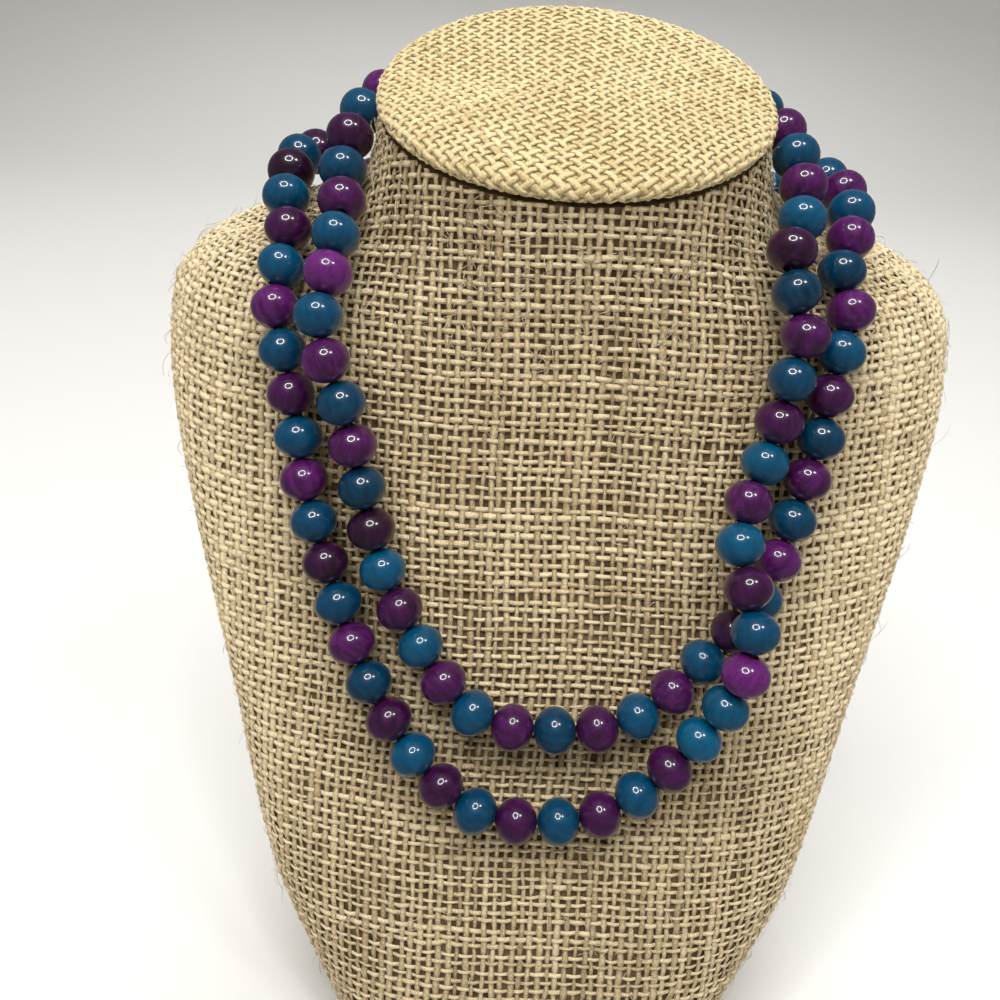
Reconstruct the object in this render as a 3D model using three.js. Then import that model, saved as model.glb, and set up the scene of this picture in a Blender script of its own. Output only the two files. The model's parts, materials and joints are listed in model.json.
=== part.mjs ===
// A string of round wooden beads, wound twice round the neck of a burlap-covered neck bust.
//
// Units are millimetres and +Z is up. The origin is the middle of the bust's flat underside. The bust
// faces -Y. Left and right in names are those of somebody who looks at its front: +X is right.

import * as THREE from 'three';

// ---------------------------------------------------------------------------------------------
// Driving dimensions
// ---------------------------------------------------------------------------------------------

const BEAD_COUNT = 105;          // odd, so two beads of one colour meet where the string is joined
const BEAD_DIAMETER = 11.4;      // across the thread
const BEAD_END_GAP = 0.4;        // bare thread between two beads
const THREAD_DIAMETER = 2.0;     // the thread with the flat rims of the bead holes
const RESTING_GAP = 0.4;         // between a bead and the cloth under it
const BEAD_SIDES = 8;

// A bead's profile: how far along its half length, and how wide there as a share of its radius.
const BEAD_PROFILE = [
  { along: -0.86, width: 0.6 },
  { along: -0.36, width: 1.0 },
  { along: 0.36, width: 1.0 },
  { along: 0.86, width: 0.6 },
];

// The bust's sections from the base up to the slanted top of the neck. A section is a rounded oval in
// a plane that leans from its front edge to its back edge. Its widest line lies at sideShare of the way
// back, and fullness is the power of the oval: 2 is an ellipse, more is squarer.
const BUST_SECTIONS = [
  { frontY: -59.0, frontZ: 0, backY: 58, backZ: 0, halfWidth: 45.0, fullness: 2.6, sideShare: 0.27 },
  { frontY: -48.0, frontZ: 28, backY: 58, backZ: 22, halfWidth: 60.0, fullness: 2.6, sideShare: 0.27 },
  { frontY: -39.0, frontZ: 51, backY: 58, backZ: 45, halfWidth: 70.0, fullness: 2.6, sideShare: 0.27 },
  { frontY: -21.0, frontZ: 90, backY: 59, backZ: 80, halfWidth: 80.0, fullness: 2.6, sideShare: 0.28 },
  { frontY: -5.0, frontZ: 125, backY: 61, backZ: 124, halfWidth: 91.0, fullness: 2.5, sideShare: 0.36 },
  { frontY: 5.0, frontZ: 152, backY: 65, backZ: 163, halfWidth: 98.0, fullness: 2.4, sideShare: 0.46 },
  { frontY: 9.0, frontZ: 167, backY: 69, backZ: 182, halfWidth: 99.0, fullness: 2.3, sideShare: 0.52 },
  { frontY: 10.5, frontZ: 174, backY: 72, backZ: 194, halfWidth: 97.0, fullness: 2.2, sideShare: 0.52 },
  { frontY: 11.5, frontZ: 179, backY: 74, backZ: 203, halfWidth: 89.0, fullness: 2.1, sideShare: 0.52 },
  { frontY: 12.0, frontZ: 184, backY: 75, backZ: 211, halfWidth: 68.0, fullness: 2.1, sideShare: 0.50 },
  { frontY: 12.0, frontZ: 191, backY: 75, backZ: 220, halfWidth: 53.0, fullness: 2.0, sideShare: 0.48 },
  { frontY: 12.5, frontZ: 200, backY: 76, backZ: 231, halfWidth: 48.0, fullness: 2.0, sideShare: 0.47 },
  { frontY: 12.5, frontZ: 210, backY: 79, backZ: 243, halfWidth: 46.5, fullness: 2.0, sideShare: 0.46 },
];
const BUST_SIDES = 40;
const BUST_BANDS_PER_SECTION = 2;

// The padded cap over the neck's top: height above the neck's top plane, and size as a share of it.
const CAP_GAP = 0.3;
const CAP_PROFILE = [
  { height: 0.0, share: 0.95 },
  { height: 0.9, share: 0.995 },
  { height: 2.6, share: 1.01 },
  { height: 4.2, share: 0.985 },
  { height: 5.1, share: 0.92 },
  { height: 5.6, share: 0.75 },
  { height: 5.9, share: 0.4 },
];

// The string's route over the bust. Columns: degrees round the bust from the middle of its front
// towards +X, level (the height at which the section there meets the front), and lift of the bead
// above where it would rest, where it rides on beads of the other turn.
const FIRST_TURN = [
  // around, level, lift: up the right side, crossing over the second turn
  [22.8, 101, 7.5],
  [24.2, 110.5, 12],
  [24, 121, 12],
  [21.5, 132, 9],
  [21, 142, 6],
  [25, 157, 1.5],
  [29.5, 174.5, 3],
  [45, 184.5, 4.8],
  [67, 194.5, 3.2],
  // round the back of the neck, close under the cap
  [94, 203, 0],
  [122, 204, 0],
  [150, 204, 0],
  [180, 204, 0],
  [210, 204, 0],
  [238, 204, 0],
  [262, 202, 0],
  // down the left side, leaning on the second turn, to the upper swag in front
  [281, 196, 1],
  [302, 187.5, 4],
  [325, 178, 6],
  [333.5, 163.5, 4.5],
  [336.5, 145.4, 2],
  [339, 127, 0],
  [344.3, 111, 0],
  [352, 96.5, 0],
];
const SECOND_TURN = [
  // around, level, lift: from the upper swag up the right side
  [1, 93.3, 0],
  [10.6, 97.3, 0],
  [19.6, 109.5, 0],
  [27.4, 123, 0],
  [31, 142, 0],
  [33.6, 158.5, 0],
  [38, 174.5, 0],
  [57, 182.5, 1],
  [80, 185, 3],
  // round the back, outside the first turn and low on the shoulders
  [106, 184, 3],
  [132, 181, 2],
  [158, 177.5, 0.3],
  [180, 176.5, 0],
  [202, 177.5, 0.3],
  [228, 181, 2],
  [254, 184, 3],
  [273, 185, 3],
  // down the left side to the lower swag in front
  [300, 182.5, 1],
  [319, 175, 0],
  [325, 160, 0],
  [326.9, 141, 0],
  [330, 123, 0],
  [334.6, 104, 0],
  [343, 86, 0],
  [354, 74, 0],
  [366, 75, 0],
  [376, 86.5, 2.5],
];
const ROUTE_STEPS_PER_ROW = 20;

// The string in runs along its thread, starting at the joined pair of beads low on the right.
const RUNS = [
  { name: 'turn_one_front_right', beads: 8 },
  { name: 'turn_one_right_shoulder', beads: 8 },
  { name: 'turn_one_nape_right', beads: 6 },
  { name: 'turn_one_nape_left', beads: 5 },
  { name: 'turn_one_left_shoulder', beads: 8 },
  { name: 'turn_one_left_breast', beads: 8 },
  { name: 'turn_one_front', beads: 7 },
  { name: 'turn_two_front_right', beads: 8 },
  { name: 'turn_two_right_shoulder', beads: 8 },
  { name: 'turn_two_nape_right', beads: 7 },
  { name: 'turn_two_nape_left', beads: 7 },
  { name: 'turn_two_left_shoulder', beads: 8 },
  { name: 'turn_two_left_breast', beads: 8 },
  { name: 'turn_two_front', beads: 9 },
];

// ---------------------------------------------------------------------------------------------
// The bust's surface
// ---------------------------------------------------------------------------------------------

const FULL_CIRCLE = 2 * Math.PI;
const SURFACE_STEPS_PER_SECTION = 8;
const NORMAL_STEP = 1.0;         // degrees and millimetres, for the surface's slope

/** A smooth value between b and c at share t, with a and d as the values beyond them. */
function smoothBetween(a, b, c, d, t) {
  const linear = (c - a) * t;
  const square = (2 * a - 5 * b + 4 * c - d) * t * t;
  const cube = (3 * b - a - 3 * c + d) * t * t * t;
  return 0.5 * (2 * b + linear + square + cube);
}

/** The section at share t between two rows of BUST_SECTIONS. */
function sectionBetween(row, t) {
  const last = BUST_SECTIONS.length - 1;
  const section = {};
  for (const column of Object.keys(BUST_SECTIONS[0])) {
    const value = (index) => BUST_SECTIONS[index][column];
    const before = row > 0 ? value(row - 1) : 2 * value(row) - value(row + 1);
    const after = row + 2 <= last ? value(row + 2) : 2 * value(row + 1) - value(row);
    section[column] = smoothBetween(before, value(row), value(row + 1), after, t);
  }
  return section;
}

/** All sections from the base to the neck's top, with so many bands between two rows. */
function refinedSections(bandsPerRow) {
  const sections = [];
  for (let row = 0; row < BUST_SECTIONS.length - 1; row += 1) {
    for (let band = 0; band < bandsPerRow; band += 1) {
      sections.push(sectionBetween(row, band / bandsPerRow));
    }
  }
  sections.push(BUST_SECTIONS[BUST_SECTIONS.length - 1]);
  return sections;
}

/** The point of a section at an angle in radians from the middle of the front towards +X. */
function pointOnSection(section, angle) {
  const side = Math.sin(angle);
  const back = -Math.cos(angle);
  const rounded = (value) => Math.sign(value) * Math.abs(value) ** (2 / section.fullness);
  const share = section.sideShare + rounded(back) * (back < 0 ? section.sideShare : 1 - section.sideShare);
  return new THREE.Vector3(
    section.halfWidth * rounded(side),
    section.frontY + (section.backY - section.frontY) * share,
    section.frontZ + (section.backZ - section.frontZ) * share,
  );
}

const FINE_SECTIONS = refinedSections(SURFACE_STEPS_PER_SECTION);

/** The section whose front edge is at the given level. */
function sectionAtLevel(level) {
  let index = 0;
  while (index < FINE_SECTIONS.length - 2 && FINE_SECTIONS[index + 1].frontZ < level) index += 1;
  const lower = FINE_SECTIONS[index];
  const upper = FINE_SECTIONS[index + 1];
  const share = (level - lower.frontZ) / (upper.frontZ - lower.frontZ);
  const section = {};
  for (const column of Object.keys(lower)) {
    section[column] = THREE.MathUtils.lerp(lower[column], upper[column], share);
  }
  return section;
}

/** The point of the bust's surface at degrees round it and a level. */
function surfacePoint(around, level) {
  return pointOnSection(sectionAtLevel(level), THREE.MathUtils.degToRad(around));
}

/** The direction straight out of the bust's surface there. */
function surfaceNormal(around, level) {
  const acrossStep = surfacePoint(around + NORMAL_STEP, level).sub(surfacePoint(around - NORMAL_STEP, level));
  const upStep = surfacePoint(around, level + NORMAL_STEP).sub(surfacePoint(around, level - NORMAL_STEP));
  return acrossStep.cross(upStep).normalize();
}

// ---------------------------------------------------------------------------------------------
// Closed solids lofted through rings
// ---------------------------------------------------------------------------------------------

/** A closed solid through rings of equally many points, with a flat fan over each end. */
function loftedSolid(rings) {
  const sides = rings[0].length;
  const centreOf = (ring) => ring.reduce((sum, point) => sum.add(point), new THREE.Vector3()).divideScalar(sides);
  const points = [...rings.flat(), centreOf(rings[0]), centreOf(rings[rings.length - 1])];
  const startCentre = points.length - 2;
  const endCentre = points.length - 1;
  const indices = [];
  for (let side = 0; side < sides; side += 1) {
    const next = (side + 1) % sides;
    for (let ring = 0; ring < rings.length - 1; ring += 1) {
      const low = ring * sides;
      const high = low + sides;
      indices.push(low + side, low + next, high + next, low + side, high + next, high + side);
    }
    const top = (rings.length - 1) * sides;
    indices.push(startCentre, next, side, endCentre, top + side, top + next);
  }
  const geometry = new THREE.BufferGeometry().setFromPoints(points);
  geometry.setIndex(indices);
  geometry.computeVertexNormals();
  return geometry;
}

/** The ring of a section's points, counted from the front towards +X. */
function sectionRing(section, sides) {
  return Array.from({ length: sides }, (_, side) => pointOnSection(section, (side / sides) * FULL_CIRCLE));
}

/** The covered form: chest, shoulders and neck. */
function bustBodyGeometry() {
  return loftedSolid(refinedSections(BUST_BANDS_PER_SECTION).map((section) => sectionRing(section, BUST_SIDES)));
}

/** The padded disc on the neck's slanted top. */
function neckCapGeometry() {
  const top = BUST_SECTIONS[BUST_SECTIONS.length - 1];
  const rim = sectionRing(top, BUST_SIDES);
  const slope = new THREE.Vector3(0, top.backY - top.frontY, top.backZ - top.frontZ).normalize();
  const upwards = new THREE.Vector3(1, 0, 0).cross(slope);
  const centre = new THREE.Vector3(0, (top.frontY + top.backY) / 2, (top.frontZ + top.backZ) / 2);
  const rings = CAP_PROFILE.map(({ height, share }) => rim.map((point) => (
    point.clone().sub(centre).multiplyScalar(share).add(centre).addScaledVector(upwards, CAP_GAP + height)
  )));
  return loftedSolid(rings);
}

// ---------------------------------------------------------------------------------------------
// The string of beads
// ---------------------------------------------------------------------------------------------

/** The thread's closed route as short steps, each with its place, its outward side and its length so far. */
function threadRoute() {
  const rows = [...FIRST_TURN, ...SECOND_TURN.map(([around, level, lift]) => [around + 360, level, lift])];
  const rowAt = (index) => {
    const wrapped = (index + rows.length) % rows.length;
    const turns = Math.floor(index / rows.length) * 720;
    const [around, level, lift] = rows[wrapped];
    return [around + turns, level, lift];
  };
  const route = [];
  for (let row = 0; row < rows.length; row += 1) {
    for (let step = 0; step < ROUTE_STEPS_PER_ROW; step += 1) {
      const share = step / ROUTE_STEPS_PER_ROW;
      const [around, level, lift] = [0, 1, 2].map((column) => smoothBetween(
        rowAt(row - 1)[column], rowAt(row)[column], rowAt(row + 1)[column], rowAt(row + 2)[column], share,
      ));
      const outward = surfaceNormal(around, level);
      const standoff = BEAD_DIAMETER / 2 + RESTING_GAP + Math.max(lift, 0);
      route.push({ place: surfacePoint(around, level).addScaledVector(outward, standoff), outward });
    }
  }
  route.push(route[0]);
  let length = 0;
  return route.map((stop, index) => {
    if (index > 0) length += stop.place.distanceTo(route[index - 1].place);
    return { ...stop, length };
  });
}

const ROUTE = threadRoute();
const STRING_LENGTH = ROUTE[ROUTE.length - 1].length;
const BEAD_PITCH = STRING_LENGTH / BEAD_COUNT;

/** The route's place and outward side at a length along the string. */
function routeAt(length) {
  const wrapped = ((length % STRING_LENGTH) + STRING_LENGTH) % STRING_LENGTH;
  let index = 0;
  while (ROUTE[index + 1].length < wrapped) index += 1;
  const before = ROUTE[index];
  const after = ROUTE[index + 1];
  const share = (wrapped - before.length) / (after.length - before.length);
  return {
    place: before.place.clone().lerp(after.place, share),
    outward: before.outward.clone().lerp(after.outward, share),
  };
}

/** A ring round a bead's own straight axis. */
function beadRing(bead, along, radius) {
  return Array.from({ length: BEAD_SIDES }, (_, side) => {
    const angle = (side / BEAD_SIDES) * FULL_CIRCLE;
    return bead.place.clone()
      .addScaledVector(bead.axis, along)
      .addScaledVector(bead.outward, radius * Math.cos(angle))
      .addScaledVector(bead.sideways, radius * Math.sin(angle));
  });
}

/** Where a bead sits on the thread, with its axis and two directions square to it. */
function beadFrame(number) {
  const length = number * BEAD_PITCH;
  const { place, outward } = routeAt(length);
  const axis = routeAt(length + BEAD_PITCH / 2).place.sub(routeAt(length - BEAD_PITCH / 2).place).normalize();
  const square = outward.addScaledVector(axis, -outward.dot(axis)).normalize();
  return { place, axis, outward: square, sideways: axis.clone().cross(square) };
}

/** A run of beads joined along their thread. */
function beadRunGeometry(firstBead, beads) {
  const halfLength = (BEAD_PITCH - BEAD_END_GAP) / 2;
  const rings = [];
  for (let number = firstBead; number < firstBead + beads; number += 1) {
    const bead = beadFrame(number);
    rings.push(beadRing(bead, -halfLength, THREAD_DIAMETER / 2));
    for (const { along, width } of BEAD_PROFILE) {
      rings.push(beadRing(bead, along * halfLength, (width * BEAD_DIAMETER) / 2));
    }
    rings.push(beadRing(bead, halfLength, THREAD_DIAMETER / 2));
  }
  return loftedSolid(rings);
}

// ---------------------------------------------------------------------------------------------
// The object
// ---------------------------------------------------------------------------------------------

const burlap = new THREE.MeshStandardMaterial({ color: 0xb59b6c, roughness: 0.95, metalness: 0 });
const capBurlap = new THREE.MeshStandardMaterial({ color: 0xc4a878, roughness: 0.95, metalness: 0 });
const tealLacquer = new THREE.MeshStandardMaterial({ color: 0x045a78, roughness: 0.15, metalness: 0 });
const purpleLacquer = new THREE.MeshStandardMaterial({ color: 0x4c1f55, roughness: 0.15, metalness: 0 });

/** A named mesh. */
function piece(name, geometry, material) {
  const mesh = new THREE.Mesh(geometry, material);
  mesh.name = name;
  return mesh;
}

const necklaceOnBust = new THREE.Group();
necklaceOnBust.add(piece('bust_body', bustBodyGeometry(), burlap));
necklaceOnBust.add(piece('neck_cap', neckCapGeometry(), capBurlap));

let firstBead = 0;
RUNS.forEach(({ name, beads }, index) => {
  const lacquer = index % 2 === 0 ? tealLacquer : purpleLacquer;
  necklaceOnBust.add(piece(name, beadRunGeometry(firstBead, beads), lacquer));
  firstBead += beads;
});

export default necklaceOnBust;
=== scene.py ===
"""Beaded necklace wound twice round a burlap-covered neck bust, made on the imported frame."""
import sys
import json
import logging
import math
from dataclasses import dataclass, field
from enum import Enum

import bpy
import numpy as np
from mathutils import Matrix, Vector

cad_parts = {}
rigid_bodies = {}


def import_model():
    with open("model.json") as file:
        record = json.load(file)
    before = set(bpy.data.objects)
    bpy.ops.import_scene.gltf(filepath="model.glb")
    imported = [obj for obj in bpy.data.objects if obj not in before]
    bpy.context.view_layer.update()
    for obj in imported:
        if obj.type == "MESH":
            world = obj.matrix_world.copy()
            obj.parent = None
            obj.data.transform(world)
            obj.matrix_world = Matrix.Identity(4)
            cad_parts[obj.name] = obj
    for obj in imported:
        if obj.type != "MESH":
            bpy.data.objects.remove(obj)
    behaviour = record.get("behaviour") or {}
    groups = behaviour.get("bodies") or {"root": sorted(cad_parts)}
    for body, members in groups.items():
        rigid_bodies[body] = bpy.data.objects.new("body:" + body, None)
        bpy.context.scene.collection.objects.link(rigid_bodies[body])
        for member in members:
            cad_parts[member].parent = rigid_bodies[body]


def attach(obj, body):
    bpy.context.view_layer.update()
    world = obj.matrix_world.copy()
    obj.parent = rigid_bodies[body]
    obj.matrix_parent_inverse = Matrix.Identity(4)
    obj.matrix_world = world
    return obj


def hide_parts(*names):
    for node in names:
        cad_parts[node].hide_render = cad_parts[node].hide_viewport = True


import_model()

log = logging.getLogger("necklace")
MM = 0.001
BODY = "root"
Array = np.ndarray


# ---------------------------------------------------------------- small helpers


def deselect_all() -> None:
    """Leaves nothing selected, so that an operator acts only on what is picked after it."""
    for thing in bpy.context.view_layer.objects:
        thing.select_set(False)


def pick(piece: bpy.types.Object) -> None:
    """Makes one object the selected and active one.

    Args:
        piece: The object to work on.
    """
    deselect_all()
    piece.select_set(True)
    bpy.context.view_layer.objects.active = piece


def settle(piece: bpy.types.Object) -> None:
    """Puts an object's place into its mesh, so that the object itself sits at the origin.

    Args:
        piece: The finished object.
    """
    pick(piece)
    bpy.ops.object.transform_apply(location=True, rotation=True, scale=True)


def unit(vectors: Array) -> Array:
    """Vectors brought to length one.

    Args:
        vectors: An array whose last axis holds x, y and z.

    Returns:
        The same array with each vector one long.
    """
    return vectors / np.maximum(np.linalg.norm(vectors, axis=-1, keepdims=True), 1e-12)


def drift(rng: np.random.Generator, along: Array, step: float, amount: float) -> Array:
    """A slow random wander along a length.

    Args:
        rng: The seeded source.
        along: Distances at which the wander is wanted, in any order.
        step: Distance between independent values.
        amount: Spread of the values.

    Returns:
        One value for each distance.
    """
    low, high = float(np.min(along)), float(np.max(along))
    knots = np.arange(low - step, high + 2 * step, step) + rng.uniform(0, step)
    return amount * np.interp(along, knots, rng.normal(size=len(knots)))


def spline_rows(rows: Array, steps: int, closing: Array | None = None) -> Array:
    """Rows filled in between by a uniform Catmull-Rom spline, column by column.

    Args:
        rows: The given rows.
        steps: New rows for each gap.
        closing: What is added to the first rows to follow on from the last, for a closed run.

    Returns:
        The filled table; an open one ends with its last row.
    """
    if closing is None:
        padded = np.vstack([2 * rows[0] - rows[1], rows, 2 * rows[-1] - rows[-2]])
    else:
        padded = np.vstack([rows[-1] - closing, rows, rows[:2] + closing])
    share = (np.arange(steps) / steps)[:, None]
    filled = []
    for first, here, there, last in zip(padded, padded[1:], padded[2:], padded[3:]):
        filled.append(
            0.5
            * (
                2 * here
                + (there - first) * share
                + (2 * first - 5 * here + 4 * there - last) * share**2
                + (3 * here - first - 3 * there + last) * share**3
            )
        )
    if closing is None:
        filled.append(rows[-1:])
    return np.vstack(filled)


# ---------------------------------------------------------------- the shape of the bust


@dataclass(frozen=True)
class BustSection:
    """One level of the bust, in millimetres: its front and back points, half width and roundness."""

    front_y: float
    front_z: float
    back_y: float
    back_z: float
    half_width: float
    fullness: float
    side_share: float

    def row(self) -> list[float]:
        """The section's sizes in the order of a table's columns."""
        return [self.front_y, self.front_z, self.back_y, self.back_z, self.half_width, self.fullness, self.side_share]


SECTIONS: tuple[BustSection, ...] = (
    BustSection(-59, 0, 58, 0, 45, 2.6, 0.27),
    BustSection(-48, 28, 58, 22, 60, 2.6, 0.27),
    BustSection(-39, 51, 58, 45, 70, 2.6, 0.27),
    BustSection(-21, 90, 59, 80, 80, 2.6, 0.28),
    BustSection(-5, 125, 61, 124, 91, 2.5, 0.36),
    BustSection(5, 152, 65, 163, 98, 2.4, 0.46),
    BustSection(9, 167, 69, 182, 99, 2.3, 0.52),
    BustSection(10.5, 174, 72, 194, 97, 2.2, 0.52),
    BustSection(11.5, 179, 74, 203, 89, 2.1, 0.52),
    BustSection(12, 184, 75, 211, 68, 2.1, 0.50),
    BustSection(12, 191, 75, 220, 53, 2.0, 0.48),
    BustSection(12.5, 200, 76, 231, 48, 2.0, 0.47),
    BustSection(12.5, 210, 79, 243, 46.5, 2.0, 0.46),
)


@dataclass
class BustForm:
    """The surface of the bust, met by section row and by angle round it from the front centre."""

    sections: tuple[BustSection, ...] = SECTIONS
    fill_steps: int = 8
    rows: Array = field(init=False)

    def __post_init__(self) -> None:
        """Fills the sections in between."""
        self.rows = spline_rows(np.array([s.row() for s in self.sections], float), self.fill_steps)

    @property
    def last_row(self) -> float:
        """The row number of the top section."""
        return float(len(self.rows) - 1)

    def row_of_level(self, level: Array) -> Array:
        """The row number at which the front centre has a given height in millimetres."""
        return np.interp(level, self.rows[:, 1], np.arange(len(self.rows)))

    def points(self, row: Array, angle: Array) -> Array:
        """Points of the surface.

        Args:
            row: Row numbers, whole or between.
            angle: Angles round the bust in degrees, 0 at the front and 90 at the viewer's right.

        Returns:
            Points in millimetres, with x, y and z along the last axis.
        """
        row, angle = np.broadcast_arrays(np.asarray(row, float), np.asarray(angle, float))
        index = np.arange(len(self.rows))
        front_y, front_z, back_y, back_z, half_width, fullness, side_share = (
            np.interp(row, index, self.rows[:, column]) for column in range(7)
        )
        side, back = np.sin(np.radians(angle)), -np.cos(np.radians(angle))
        power = 2.0 / fullness
        side = np.sign(side) * np.abs(side) ** power
        back = np.sign(back) * np.abs(back) ** power
        share = side_share + back * np.where(back < 0, side_share, 1 - side_share)
        return np.stack(
            [half_width * side, front_y + (back_y - front_y) * share, front_z + (back_z - front_z) * share], axis=-1
        )

    def normals(self, row: Array, angle: Array) -> Array:
        """Outward directions of the surface at the given rows and angles."""
        row, angle = np.asarray(row, float), np.asarray(angle, float)
        across = self.points(row, angle + 1.0) - self.points(row, angle - 1.0)
        upwards = self.points(np.minimum(row + 0.5, self.last_row), angle) - self.points(np.maximum(row - 0.5, 0), angle)
        return unit(np.cross(across, upwards))

    def top_frame(self) -> tuple[Array, Array, Array]:
        """The middle of the top section, its slope from front to back and its upward direction."""
        front, back = self.points(self.last_row, 0.0), self.points(self.last_row, 180.0)
        slope = unit(back - front)
        return (front + back) / 2, slope, unit(np.cross(np.array([1.0, 0.0, 0.0]), slope))


# ---------------------------------------------------------------- finishes


class NodeBench:
    """A material's node tree, with short ways to add and join nodes."""

    def __init__(self, name: str) -> None:
        """Makes an empty material with its shader and output.

        Args:
            name: The material's name.
        """
        self.material = bpy.data.materials.new(name)
        self.material.use_nodes = True
        self.tree = self.material.node_tree
        self.tree.nodes.clear()
        self.output = self.add("ShaderNodeOutputMaterial")
        self.shader = self.add("ShaderNodeBsdfPrincipled")
        self.join(self.shader, "BSDF", self.output, "Surface")

    def add(self, kind: str, **settings: object) -> bpy.types.Node:
        """Adds a node of a kind and sets its properties."""
        node = self.tree.nodes.new(kind)
        for key, value in settings.items():
            setattr(node, key, value)
        return node

    def join(self, source: bpy.types.Node, out: str | int, target: bpy.types.Node, into: str | int) -> None:
        """Links one node's output to another's input."""
        self.tree.links.new(source.outputs[out], target.inputs[into])

    def math(self, operation: str, first: object, second: object = 0.0) -> bpy.types.Node:
        """A Math node whose two inputs are numbers or (node, output) pairs."""
        node = self.add("ShaderNodeMath", operation=operation)
        for index, value in enumerate((first, second)):
            if isinstance(value, tuple):
                self.join(value[0], value[1], node, index)
            else:
                node.inputs[index].default_value = value
        return node

    def noise(self, source: tuple[bpy.types.Node, str | int], scale: float, detail: float = 3.0) -> bpy.types.Node:
        """A Noise texture that reads a coordinate."""
        node = self.add("ShaderNodeTexNoise")
        node.inputs["Scale"].default_value = scale
        node.inputs["Detail"].default_value = detail
        self.join(source[0], source[1], node, "Vector")
        return node

    def ramp(self, source: tuple[bpy.types.Node, str | int], stops: list[tuple[float, tuple[float, ...]]]) -> bpy.types.Node:
        """A colour ramp through the given stops."""
        node = self.add("ShaderNodeValToRGB")
        node.color_ramp.elements[0].position = stops[0][0]
        node.color_ramp.elements[0].color = (*stops[0][1], 1.0)
        node.color_ramp.elements[1].position = stops[-1][0]
        node.color_ramp.elements[1].color = (*stops[-1][1], 1.0)
        for place, colour in stops[1:-1]:
            node.color_ramp.elements.new(place).color = (*colour, 1.0)
        self.join(source[0], source[1], node, "Fac")
        return node

    def bump(self, source: tuple[bpy.types.Node, str | int], strength: float, depth: float) -> bpy.types.Node:
        """A Bump node joined to the shader's normal."""
        node = self.add("ShaderNodeBump")
        node.inputs["Strength"].default_value = strength
        node.inputs["Distance"].default_value = depth
        self.join(source[0], source[1], node, "Height")
        self.join(node, "Normal", self.shader, "Normal")
        return node

    def fix(self, **sockets: object) -> None:
        """Sets plain values on the shader, an underscore standing for a space."""
        for key, value in sockets.items():
            self.shader.inputs[key.replace("_", " ")].default_value = value


@dataclass(frozen=True)
class YarnFinish:
    """Twisted jute yarn: fibres that wind along each thread, and a tone for each thread that also carries painted shade
    where it dips under a crossing and, on the bust, painted light towards the sides.
    """

    name: str
    shade: tuple[float, float, float]
    middle: tuple[float, float, float]
    light: tuple[float, float, float]
    roughness: float = 0.82

    def material(self) -> bpy.types.Material:
        """Builds the yarn material from the thread's length, girth and tone; the tone carries painted shade and painted
        light as well as each thread's own colour.
        """
        bench = NodeBench(self.name)
        uv = bench.add("ShaderNodeUVMap", uv_map="yarn")
        split = bench.add("ShaderNodeSeparateXYZ")
        bench.join(uv, "UV", split, 0)
        tone = bench.add("ShaderNodeAttribute", attribute_name="tone", attribute_type="GEOMETRY")
        wound = bench.math("ADD", (bench.math("MULTIPLY", (split, 0), 5.0), 0), (bench.math("MULTIPLY", (split, 1), 7.0), 0))
        stretched = bench.add("ShaderNodeCombineXYZ")
        bench.join(bench.math("MULTIPLY", (split, 0), 3.2), 0, stretched, 0)
        bench.join(wound, 0, stretched, 1)
        bench.join(bench.math("MULTIPLY", (tone, "Fac"), 60.0), 0, stretched, 2)
        fibres = bench.noise((stretched, 0), 1.0, 4.0)
        place = bench.add("ShaderNodeTexCoord")
        patches = bench.noise((place, "Object"), 38.0, 2.0)
        mix = bench.math("ADD", (tone, "Fac"), (bench.math("MULTIPLY", (bench.math("SUBTRACT", (fibres, 0), 0.5), 0), 1.6), 0))
        mix = bench.math("ADD", (mix, 0), (bench.math("MULTIPLY", (bench.math("SUBTRACT", (patches, 0), 0.5), 0), 0.35), 0))
        colour = bench.ramp((mix, 0), [(0.08, self.shade), (0.5, self.middle), (0.92, self.light)])
        bench.join(colour, 0, bench.shader, "Base Color")
        bench.bump((fibres, 0), 0.9, 0.0006)
        bench.fix(Roughness=self.roughness, Specular_IOR_Level=0.25, Sheen_Weight=0.25, Sheen_Roughness=0.5)
        return bench.material


@dataclass(frozen=True)
class UnderclothFinish:
    """The backing that shows through the holes of the weave; its default dark brown is painted shade for those holes,
    lifted towards the sides as painted light.
    """

    name: str = "undercloth"
    # the default dark brown is painted shade for the holes of the weave
    dark: tuple[float, float, float] = (0.088, 0.054, 0.024)
    light: tuple[float, float, float] = (0.20, 0.132, 0.066)
    # pale colour that the sides are lifted to, as painted light
    edge: tuple[float, float, float] = (0.52, 0.38, 0.20)
    side_painted_light: float = 0.55

    def material(self) -> bpy.types.Material:
        """Builds the backing's mottled matt material, dark as painted shade and paler towards the sides as painted
        light.
        """
        bench = NodeBench(self.name)
        place = bench.add("ShaderNodeTexCoord")
        mottle = bench.noise((place, "Object"), 260.0, 3.0)
        split = bench.add("ShaderNodeSeparateXYZ")
        bench.join(place, "Object", split, 0)
        # painted light: from 52 mm out from the middle the backing is pushed towards its pale side colour
        aside = bench.math("MULTIPLY", (bench.math("SUBTRACT", (bench.math("ABSOLUTE", (split, 0)), 0), 0.052), 0), 17.0)
        aside.use_clamp = True
        mix = bench.math("ADD", (mottle, 0), (bench.math("MULTIPLY", (aside, 0), self.side_painted_light), 0))
        colour = bench.ramp((mix, 0), [(0.35, self.dark), (0.7, self.light), (1.0, self.edge)])
        bench.join(colour, 0, bench.shader, "Base Color")
        bench.bump((mottle, 0), 0.5, 0.0006)
        bench.fix(Roughness=0.95, Specular_IOR_Level=0.1)
        return bench.material


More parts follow.
